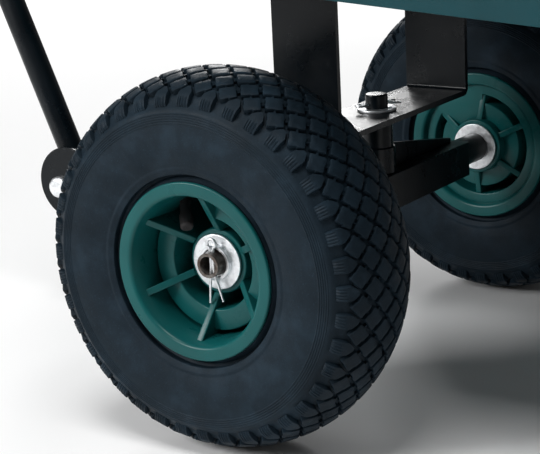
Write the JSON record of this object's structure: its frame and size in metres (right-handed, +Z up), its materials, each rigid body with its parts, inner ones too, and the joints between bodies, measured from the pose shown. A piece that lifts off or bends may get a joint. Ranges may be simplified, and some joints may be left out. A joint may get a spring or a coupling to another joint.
{
  "type": "garden dump cart",
  "caption": "Garden dump cart with pneumatic wheels, a steered front axle, a pull handle and a moulded tub that tips back over a rear hinge.",
  "frame": {"origin": "on the ground under the middle of the cart's overall length, on its mirror plane", "axes": "+Z up, +X towards the rear of the cart, so the handle is at -X; +Y to the side"},
  "size_m": [1.3614, 0.5, 0.8184],
  "materials": {
    "tyre_rubber": "moulded black rubber with a bluish grey cast, satin crown blocks and dull sidewalls",
    "soft_rubber": "matt black rubber",
    "rim_plastic": "injection-moulded green plastic, semi-gloss",
    "tub_plastic": "moulded green plastic with a fine grain, satin",
    "black_steel": "glossy black powder coat with a slight orange peel",
    "zinc_steel": "bright zinc plating",
    "bare_steel": "bare drawn steel, greased, brownish inside the tube"
  },
  "bodies": {
    "chassis": {"side_rail_left": "black_steel", "side_rail_right": "black_steel", "front_cross_member": "black_steel", "rear_cross_member": "black_steel", "steering_strap": "black_steel", "rear_strap": "black_steel", "strap_bolts": "zinc_steel", "rear_braces": "black_steel", "rubber_rests": "soft_rubber", "rear_axle": "bare_steel", "rear_axle_spacers": "black_steel", "rear_axle_washers": "zinc_steel", "rear_axle_cotter_pins": "zinc_steel", "tub_hinge_pin": "zinc_steel", "hinge_pin_clips": "zinc_steel", "latch_brackets": "black_steel", "latch_pin": "zinc_steel"},
    "steering": {"axle_beam": "black_steel", "beam_gussets": "black_steel", "steering_post": "black_steel", "kingpin": "black_steel", "kingpin_washers": "zinc_steel", "kingpin_cotter_pin": "zinc_steel", "front_axle": "bare_steel", "front_axle_spacers": "black_steel", "front_axle_washers": "zinc_steel", "front_axle_cotter_pins": "zinc_steel", "tongue": "black_steel", "tongue_bush": "bare_steel"},
    "handle": {"handle_clevis": "black_steel", "handle_tube": "black_steel", "handle_loop": "black_steel", "handle_grip": "soft_rubber", "handle_pivot_bolt": "zinc_steel"},
    "tub": {"tub": "tub_plastic", "tub_hinge_plates": "black_steel", "tub_bolts": "zinc_steel", "latch_striker": "black_steel"},
    "latch": {"latch_lever": "black_steel"},
    "wheel_front_left": {"tyre_front_left": "tyre_rubber", "inner_tube_front_left": "soft_rubber", "rim_front_left": "rim_plastic", "bearings_front_left": "bare_steel", "valve_front_left": "soft_rubber"},
    "wheel_front_right": {"tyre_front_right": "tyre_rubber", "inner_tube_front_right": "soft_rubber", "rim_front_right": "rim_plastic", "bearings_front_right": "bare_steel", "valve_front_right": "soft_rubber"},
    "wheel_rear_left": {"tyre_rear_left": "tyre_rubber", "inner_tube_rear_left": "soft_rubber", "rim_rear_left": "rim_plastic", "bearings_rear_left": "bare_steel", "valve_rear_left": "soft_rubber"},
    "wheel_rear_right": {"tyre_rear_right": "tyre_rubber", "inner_tube_rear_right": "soft_rubber", "rim_rear_right": "rim_plastic", "bearings_rear_right": "bare_steel", "valve_rear_right": "soft_rubber"}
  },
  "joints": [
    {"name": "steer", "type": "hinge", "parent": "chassis", "child": "steering", "pos_m": [-0.08926, 0, 0.181], "axis": [0, 0, 1], "range_deg": [-35, 35]},
    {"name": "handle_pivot", "type": "hinge", "parent": "steering", "child": "handle", "pos_m": [-0.37526, 0, 0.101], "axis": [0, 1, 0], "range_deg": [-62, 20]},
    {"name": "tub_tip", "type": "hinge", "parent": "chassis", "child": "tub", "pos_m": [0.60074, 0, 0.2785], "axis": [0, 1, 0], "range_deg": [0, 80]},
    {"name": "latch_turn", "type": "hinge", "parent": "chassis", "child": "latch", "pos_m": [-0.16326, 0, 0.27433], "axis": [0, 1, 0], "range_deg": [0, 45]},
    {"name": "wheel_front_left_spin", "type": "hinge", "parent": "steering", "child": "wheel_front_left", "pos_m": [-0.08926, -0.19, 0.123], "axis": [0, 1, 0], "continuous": true},
    {"name": "wheel_front_right_spin", "type": "hinge", "parent": "steering", "child": "wheel_front_right", "pos_m": [-0.08926, 0.19, 0.123], "axis": [0, 1, 0], "continuous": true},
    {"name": "wheel_rear_left_spin", "type": "hinge", "parent": "chassis", "child": "wheel_rear_left", "pos_m": [0.55074, -0.19, 0.123], "axis": [0, 1, 0], "continuous": true},
    {"name": "wheel_rear_right_spin", "type": "hinge", "parent": "chassis", "child": "wheel_rear_right", "pos_m": [0.55074, 0.19, 0.123], "axis": [0, 1, 0], "continuous": true}
  ]
}
